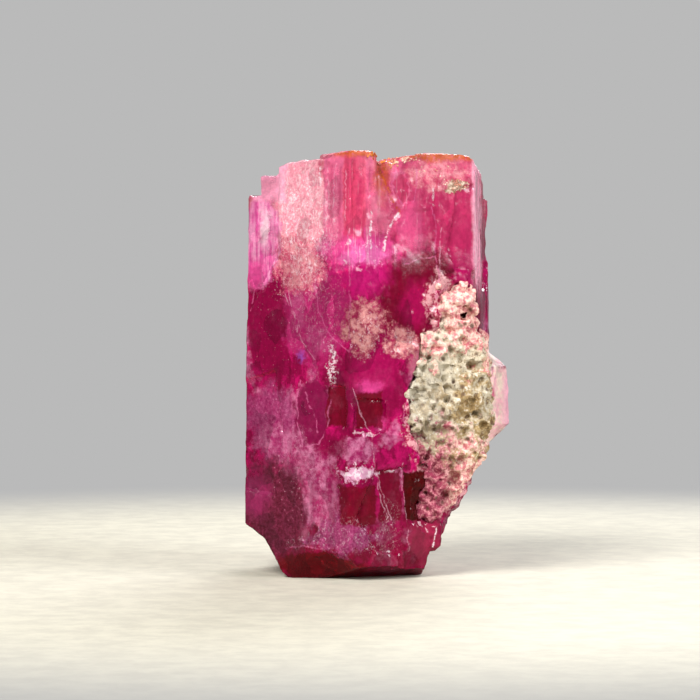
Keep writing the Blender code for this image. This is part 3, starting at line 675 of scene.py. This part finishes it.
NEEDLES = (
    ((-2.26, 7.03), (-2.18, 6.50), (-1.95, 5.98), (-1.80, 5.55), (-1.50, 5.15)),
    ((-2.14, 6.95), (-2.08, 6.32), (-1.85, 5.90)),
    ((-0.60, 4.50), (-0.46, 3.95), (-0.24, 3.45), (-0.12, 2.80), (0.05, 2.06), (0.32, 1.22)),
    ((0.54, 2.70), (0.60, 1.72), (0.68, 0.66)),
    ((-0.05, 2.48), (0.02, 1.86), (0.22, 1.36)),
    ((1.45, 8.15), (1.40, 7.15)),
    ((-1.20, 9.60), (-1.24, 8.15)),
    ((-1.02, 9.70), (-1.08, 8.72)),
    ((-0.76, 9.55), (-0.80, 8.35)),
)
# Bright beads of painted glints; the last row is a painted highlight down the right front edge.
PAINTED_GLINT_ROWS = (
    ((-0.17, 8.60), (-0.20, 8.15), (-0.24, 7.70)),
    ((0.42, 8.55), (0.15, 8.10), (0.05, 7.70)),
    ((-1.35, 9.60), (-1.42, 9.20)),
    ((1.26, 9.20), (1.28, 8.75)),
    ((-1.04, 5.35), (-1.14, 4.70)),
    ((1.34, 1.10), (1.24, 0.72)),
    ((2.24, 9.85), (2.24, 7.00)),
)
TUBES = (
    ((-1.28, 9.55), (-1.33, 8.30)),
    ((-1.10, 9.65), (-1.14, 8.40)),
    ((-0.90, 9.60), (-0.94, 8.05)),
    ((-0.46, 9.55), (-0.50, 8.20)),
    ((-0.28, 9.50), (-0.32, 8.45)),
    ((0.64, 9.50), (0.60, 9.00)),
    ((1.05, 9.30), (1.02, 8.10)),
    ((1.62, 8.90), (1.58, 7.60)),
)
RUST_LINE = (((0.08, 9.42), (0.32, 8.80), (0.44, 8.60)),)
broken = ramp(tree, mottle, 0.40, 0.52)
beaded = ramp(tree, specks, 0.44, 0.54)

# The lines with their half width in mm, what breaks them up, colour and cover.
DRAWN = (
    (TUBES, 0.065, broken, colour(172, 24, 80), 0.4),
    (PLATE_RIMS, 0.028, broken, colour(230, 116, 170), 0.50),
    (NEEDLES, 0.020, broken, colour(250, 190, 216), 0.42),
    (PAINTED_GLINT_ROWS, 0.040, beaded, WHITE, 0.9),
    (RUST_LINE, 0.050, beaded, IRON, 1.0),
)
for lines, width, gaps, tint, cover in DRAWN:
    mask = calculate(tree, "MULTIPLY", drawn_lines(tree, nearly_flat, lines, width), gaps)
    mask = calculate(tree, "MULTIPLY", calculate(tree, "MULTIPLY", mask, front), cover)
    paint = blend_colours(tree, mask, paint, tint)

# Iron stain: orange along the top rim and down the open groove. Rows as in UPPER_LEFT_STEP.
STAINED = (
    (0.08, 9.42, 0.20, 0.55, 0.5, 2.0, 0.65),
    (-0.30, 10.05, 1.10, 0.20, 0.3, 1.0, 0.95),
    (1.45, 9.95, 1.20, 0.20, 0.3, 1.0, 0.95),
)
near_front = ramp(tree, depth, 0.20, 0.75, 1.0, 0.0)
for measures in STAINED:
    mask = front_mask(tree, SPOT, nearly_flat, torn, *measures)
    mask = calculate(tree, "MULTIPLY", mask, ramp(tree, specks, 0.36, 0.48))
    paint = blend_colours(tree, calculate(tree, "MULTIPLY", mask, near_front), paint, IRON)

# The small crystal on the right side is cream with a pale pink rim and one clear red spot. The
# upper front part of that side is painted pale, as painted light that it catches from the right.
CLEAR_SPOT_AT = (2.64, 0.2, 4.20)
CLEAR_SPOT_SIZE = (0.13, 0.5, 0.25)
plain_cut = put(tree, "SeparateXYZ", None, None, {0: nearly_flat})
small_crystal = put(tree, "Group", {"node_tree": SPOT},
                    {"Centre": SIDE_CRYSTAL_AT, "Size": SIDE_CRYSTAL_SIZE, "Softness": 0.12,
                     "Raggedness": 1.2, "Cover": 1.0}, {"Place": nearly_flat, "Noise": torn}).outputs[0]
crust = blend_colours(tree, ramp(tree, mottle, 0.40, 0.60), colour(255, 192, 202), colour(255, 232, 214))
crust = blend_colours(tree, ramp(tree, plain_cut.outputs["X"], 2.95, 3.10), crust, colour(255, 188, 208))
clear_spot = put(tree, "Group", {"node_tree": SPOT},
                 {"Centre": CLEAR_SPOT_AT, "Size": CLEAR_SPOT_SIZE, "Softness": 0.3,
                  "Raggedness": 1.0, "Cover": 0.8}, {"Place": nearly_flat, "Noise": torn}).outputs[0]
crust = blend_colours(tree, clear_spot, crust, MAGENTA)
paint = blend_colours(tree, small_crystal, paint, crust)
# Painted light: the upper front part of the right side is painted pale for the light it catches from the
# right.
painted_side_light = calculate(tree, "MULTIPLY", ramp(tree, plain_cut.outputs["X"], 2.12, 2.24),
                      ramp(tree, cut.outputs["Z"], 6.2, 7.2))
ragged_y = calculate(tree, "ADD", cut.outputs["Y"], ramp(tree, torn, 0.3, 0.7, -0.8, 0.8))
painted_side_light = calculate(tree, "MULTIPLY", painted_side_light, ramp(tree, ragged_y, -0.7, 0.3, 0.95, 0.0))
pale = blend_colours(tree, ramp(tree, upright, 0.40, 0.62), colour(255, 152, 186), colour(255, 194, 214))
paint = blend_colours(tree, painted_side_light, paint, pale)

shade = calculate(tree, "MULTIPLY", shade, ramp(tree, grain, 0.3, 0.7, 0.84, 1.16))
paint = blend_colours(tree, 1.0, paint, shade, "MULTIPLY")
tree.links.new(paint, shader.inputs["Base Color"])

# Beryl's own refraction, and how much light passes in spite of the clouds. The red takes
# away most of the green on the way through.
CLEARNESS = 0.3
REFRACTION = 1.57
SHEEN = 0.2
PASSED_COLOUR = (0.92, 0.0, 0.5, 1.0)
ABSORBED_PER_METRE = 500.0
shader.inputs["Transmission Weight"].default_value = CLEARNESS
shader.inputs["IOR"].default_value = REFRACTION
shader.inputs["Specular IOR Level"].default_value = SHEEN

# How dull and grainy the surface is: the frosted part, the foot, the broken top and ledges,
# and the small crystal. Rows as in UPPER_LEFT_STEP.
DULL = (
    (-1.85, 8.50, 0.80, 1.60, 0.3, 1.0, 1.0),
    (-2.30, 1.60, 1.00, 1.30, 0.3, 1.0, 0.8),
    (0.85, 7.60, 0.70, 0.40, 0.3, 1.0, 0.45),
    (0.05, 8.75, 0.25, 0.55, 0.3, 1.0, 0.8),
    (1.85, 7.00, 0.60, 0.60, 0.3, 1.0, 0.5),
)
top_break = ramp(tree, cut.outputs["Z"], 9.3, 9.7, 0.0, 0.9)
dullness = calculate(tree, "MAXIMUM", small_crystal, top_break)
for measures in DULL:
    dullness = calculate(tree, "MAXIMUM", dullness, front_mask(tree, SPOT, bent, torn, *measures))
glossy = ramp(tree, grain, 0.35, 0.65, 0.06, 0.16)
rough = calculate(tree, "ADD", calculate(tree, "MULTIPLY", dullness, 0.38), glossy)
tree.links.new(rough, shader.inputs["Roughness"])
grainy = calculate(tree, "ADD", calculate(tree, "MULTIPLY", dullness, 0.85), 0.15)
height = calculate(tree, "MULTIPLY", grain, grainy)
bump = put(tree, "Bump", None, {"Strength": 0.5, "Distance": 0.03 * MM}, {"Height": height})
tree.links.new(bump.outputs[0], shader.inputs["Normal"])
absorb = put(tree, "VolumeAbsorption", None, {"Color": PASSED_COLOUR, "Density": ABSORBED_PER_METRE})
tree.links.new(absorb.outputs[0], tree.nodes["Material Output"].inputs["Volume"])
crystal.data.materials.append(beryl)
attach(crystal, "root")
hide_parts("beryl_crystal")


# The matrix. A scrap of pale weathered rhyolite, the rock that the beryl grew in, still holds
# the place of the crystal's right front edge. It is porous, crumbly and matt.
MATRIX_CELL = 0.035 * MM

# Pores: their spacing and depth, then how far one reaches, how much that varies, the deepest
# and the full measure of it, in spacings. Grains and lumps stand out from the rock. A pore
# goes no deeper than a share of the rock under it, measured from just inside the surface, a
# distance in mm.
PORE_SPACING = 0.27 * MM
PORE_DEPTH = 0.19 * MM
PORE_REACH = 0.42
PORE_VARIATION = 0.4
DEEPEST_PORE = 0.5
FULL_PORE = 0.45
GRAIN_SPACING = 0.09 * MM
GRAIN_HEIGHT = 0.05 * MM
GRAIN_MIDDLE = 0.6
LUMP_SPACING = 0.4 * MM
LUMP_HEIGHT = 0.12 * MM
JUST_INSIDE = 0.01
DEEPEST_SHARE = 0.35

matrix_bm = even_mesh(matrix_bm, MATRIX_CELL)
drop_loose_bits(matrix_bm)
matrix_skin = BVHTree.FromBMesh(matrix_bm)
shifts = []
for vert in matrix_bm.verts:
    pores = noise.voronoi(vert.co / PORE_SPACING)[0]
    grains = noise.voronoi(vert.co / GRAIN_SPACING)[0]
    lumps = noise.noise(vert.co / LUMP_SPACING)
    pore = min(max(0.0, PORE_REACH - pores[0] + PORE_VARIATION * lumps), DEEPEST_PORE)
    out = -PORE_DEPTH * pore / FULL_PORE + GRAIN_HEIGHT * (GRAIN_MIDDLE - grains[0])
    out += LUMP_HEIGHT * noise.noise(vert.co / (0.5 * LUMP_SPACING))
    inside = vert.co - vert.normal * JUST_INSIDE * MM
    thickness = matrix_skin.ray_cast(inside, -vert.normal)[3] or 0.0
    shifts.append(vert.normal * max(out, -DEEPEST_SHARE * thickness))
for vert, shift in zip(matrix_bm.verts, shifts):
    vert.co += shift
keep_in_box(matrix_bm)
matrix = finished_piece("rhyolite_matrix", matrix_bm)

# Weathered tan and grey, pink where it meets the crystal above and below, and stained red at its
# lower left; its pores are painted dark as painted shade.
rock, tree, shader, place = new_material("rhyolite_finish")
patchy = cloudy(tree, place, 2.2, 8.0, 0.7).outputs[0]
grit = cloudy(tree, place, 9.0, 8.0, 0.75).outputs[0]
holes = put(tree, "TexVoronoi", None, {"Scale": MM / PORE_SPACING}, {"Vector": place}).outputs["Distance"]
cut = put(tree, "SeparateXYZ", None, None, {0: place})
torn_height = calculate(tree, "ADD", cut.outputs["Z"], ramp(tree, patchy, 0.3, 0.7, -1.0, 1.0))
paint = blend_colours(tree, ramp(tree, patchy, 0.44, 0.56), colour(194, 182, 158), colour(160, 134, 90))
paint = blend_colours(tree, ramp(tree, grit, 0.38, 0.48, 0.9, 0.0), paint, colour(88, 62, 38))
paint = blend_colours(tree, ramp(tree, grit, 0.54, 0.66), paint, colour(236, 228, 214))
paint = blend_colours(tree, ramp(tree, cut.outputs["X"], 1.1, 1.9, 0.35, 0.0), paint, colour(190, 188, 178))
pinkish = calculate(tree, "MAXIMUM", ramp(tree, torn_height, 5.0, 5.6),
                    ramp(tree, torn_height, 2.6, 3.5, 1.0, 0.0))
pink_rock = blend_colours(tree, ramp(tree, grit, 0.44, 0.56), colour(206, 112, 124), colour(250, 208, 194))
paint = blend_colours(tree, calculate(tree, "MULTIPLY", pinkish, 0.85), paint, pink_rock)
lower_left = calculate(tree, "MULTIPLY", ramp(tree, torn_height, 2.9, 3.7, 1.0, 0.0),
                       ramp(tree, cut.outputs["X"], 1.35, 1.95, 0.95, 0.0))
red_rock = blend_colours(tree, ramp(tree, grit, 0.46, 0.62), colour(132, 22, 62), colour(206, 128, 140))
paint = blend_colours(tree, lower_left, paint, red_rock)
# Painted shade in the pores.
paint = blend_colours(tree, ramp(tree, holes, 0.10, 0.32, 0.85, 0.0), paint, colour(84, 58, 38))
tree.links.new(paint, shader.inputs["Base Color"])
shader.inputs["Roughness"].default_value = 0.85
bump = put(tree, "Bump", None, {"Strength": 0.8, "Distance": 0.04 * MM}, {"Height": grit})
tree.links.new(bump.outputs[0], shader.inputs["Normal"])
matrix.data.materials.append(rock)
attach(matrix, "root")
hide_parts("matrix")


# The crumbs. Grains of rusty and cream rock dust are caught in the broken top rim, most of all
# in and beside the open groove. Each is a small rough lump that sits half sunk in the crystal.

# Heaps seen from the front: across and height of the middle, half width and half height in
# mm, how many grains, and the radius of the smallest and the largest.
CRUMB_HEAPS = (
    (-0.20, 9.90, 0.07, 0.04, 14, 0.020, 0.045),
    (0.02, 9.55, 0.05, 0.22, 16, 0.010, 0.028),
    (0.28, 9.74, 0.12, 0.06, 44, 0.014, 0.042),
    (0.66, 9.80, 0.16, 0.04, 34, 0.012, 0.036),
    (1.25, 9.60, 0.22, 0.12, 20, 0.008, 0.024),
    (1.80, 9.18, 0.13, 0.09, 40, 0.012, 0.038),
)
BEFORE_THE_FRONT = -4.0 * MM
BACKWARD = Vector((0.0, 1.0, 0.0))
SUNK_SHARE = 0.3
CRUMB_UNEVENNESS = 0.9
CRUMB_BEND = 0.9
CRUMB_STRIDE = 0.1 * MM
crystal_skin = BVHTree.FromObject(crystal, bpy.context.evaluated_depsgraph_get())
crumbs_bm = bmesh.new()
chance = random.Random(5)
for across, height, half_width, half_height, count, smallest, largest in CRUMB_HEAPS:
    for _ in range(count):
        start = Vector((chance.gauss(across, half_width) * MM, BEFORE_THE_FRONT,
                        chance.gauss(height, half_height) * MM))
        hit = crystal_skin.ray_cast(start, BACKWARD)[0]
        if hit is None:
            continue
        reach = chance.uniform(smallest, largest) * MM
        hit.y += SUNK_SHARE * reach
        lump = bmesh.ops.create_icosphere(crumbs_bm, subdivisions=1, radius=reach)["verts"]
        for vert in lump:
            bend = noise.noise(vert.co / (CRUMB_BEND * reach) + start / CRUMB_STRIDE)
            vert.co *= 1.0 + CRUMB_UNEVENNESS * bend
        bmesh.ops.translate(crumbs_bm, vec=hit, verts=lump)
keep_in_box(crumbs_bm)
crumbs = finished_piece("rusty_crumbs", crumbs_bm)
dust, tree, shader, place = new_material("rusty_dust")
specks = cloudy(tree, place, 5.0, 8.0, 0.7).outputs[0]
along = put(tree, "SeparateXYZ", None, None, {0: place}).outputs["X"]
paint = blend_colours(tree, ramp(tree, specks, 0.42, 0.58), colour(160, 70, 24), colour(214, 128, 50))
pale = blend_colours(tree, ramp(tree, specks, 0.44, 0.56), colour(190, 126, 106), colour(236, 208, 188))
paint = blend_colours(tree, ramp(tree, along, 0.10, 0.60), paint, pale)
tree.links.new(paint, shader.inputs["Base Color"])
tree.links.new(ramp(tree, specks, 0.3, 0.7, 0.6, 0.9), shader.inputs["Roughness"])
bump = put(tree, "Bump", None, {"Strength": 0.6, "Distance": 0.02 * MM}, {"Height": specks})
tree.links.new(bump.outputs[0], shader.inputs["Normal"])
crumbs.data.materials.append(dust)
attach(crumbs, "root")


# The floor and the light: a pale floor that fades into a plain grey studio, a large soft
# light above on the left, a weaker one on the right and one behind.
FLOOR_RADIUS = 2.0
FLOOR_FADES = (14.0, 30.0)
BACKDROP = colour(186, 186, 186)

# How bright the room is to everything but the camera, which sees the backdrop as it is, and
# how much of the floor is kept out of the reflections in the crystal.
ROOM_STRENGTH = 0.30
FLOOR_UNSEEN = 0.7
floor_bm = bmesh.new()
bmesh.ops.create_circle(floor_bm, cap_ends=True, segments=96, radius=FLOOR_RADIUS)
floor = finished_piece("floor", floor_bm)
floor_finish, tree, shader, place = new_material("pale_floor")
distance = put(tree, "VectorMath", {"operation": "LENGTH"}, None, {0: place})
fade = ramp(tree, distance.outputs["Value"], *FLOOR_FADES)
fibres = cloudy(tree, place, 1.2, 8.0, 0.7)
paint = blend_colours(tree, ramp(tree, fibres.outputs[0], 0.35, 0.65), colour(182, 178, 164),
                      colour(196, 192, 176))
tree.links.new(paint, shader.inputs["Base Color"])
shader.inputs["Roughness"].default_value = 0.8
seen = put(tree, "LightPath")
far_strength = ramp(tree, seen.outputs["Is Camera Ray"], 0.0, 1.0, ROOM_STRENGTH, 1.0)
far = put(tree, "Emission", None, {"Color": BACKDROP}, {"Strength": far_strength})
mirrored = calculate(tree, "MULTIPLY", seen.outputs["Is Glossy Ray"], FLOOR_UNSEEN)
black = put(tree, "Emission", None, {"Strength": 0.0})
near = put(tree, "MixShader", None, None, {0: mirrored, 1: shader.outputs[0], 2: black.outputs[0]})
joined = put(tree, "MixShader", None, None, {0: fade, 1: near.outputs[0], 2: far.outputs[0]})
tree.links.new(joined.outputs[0], tree.nodes["Material Output"].inputs["Surface"])
floor.data.materials.append(floor_finish)

world = bpy.data.worlds.new("studio")
bpy.context.scene.world = world
world.use_nodes = True
background = world.node_tree.nodes["Background"]
background.inputs["Color"].default_value = BACKDROP
seen = put(world.node_tree, "LightPath")
strength = ramp(world.node_tree, seen.outputs["Is Camera Ray"], 0.0, 1.0, ROOM_STRENGTH, 1.0)
world.node_tree.links.new(strength, background.inputs["Strength"])


CRYSTAL_MIDDLE = Vector((0.0, 0.0, 0.005))


def softbox(name, place, size, power, tint):
    """A square soft light that faces the middle of the crystal, in metres and watts."""
    light = bpy.data.lights.new(name, "AREA")
    light.size = size
    light.energy = power
    light.color = tint
    lamp = bpy.data.objects.new(name, light)
    lamp.location = place
    toward = CRYSTAL_MIDDLE - Vector(place)
    lamp.rotation_euler = toward.to_track_quat("-Z", "Y").to_euler()
    lamp.visible_camera = False
    bpy.context.scene.collection.objects.link(lamp)


softbox("key", (-0.05, -0.08, 0.09), 0.06, 0.24, (1.0, 0.98, 0.95))
softbox("fill", (0.10, -0.06, 0.05), 0.06, 0.16, (0.97, 0.98, 1.0))
softbox("rim", (0.03, 0.10, 0.06), 0.06, 0.12, (1.0, 1.0, 1.0))

CAMERA_TARGET = Vector((-0.691, 0.0, 5.27)) * MM
CAMERA_DISTANCE = 93.0 * MM
CAMERA_ELEVATION = math.radians(2.0)
lens = bpy.data.cameras.new("camera")
lens.lens = 200.0
lens.sensor_width = 36.0
lens.clip_start = 0.001
lens.clip_end = 10.0
camera = bpy.data.objects.new("camera", lens)
back = Vector((0.0, -math.cos(CAMERA_ELEVATION), math.sin(CAMERA_ELEVATION)))
camera.location = CAMERA_TARGET + back * CAMERA_DISTANCE
camera.rotation_euler = (-back).to_track_quat("-Z", "Y").to_euler()
bpy.context.scene.collection.objects.link(camera)
bpy.context.scene.camera = camera
bpy.context.scene.view_settings.view_transform = "Standard"
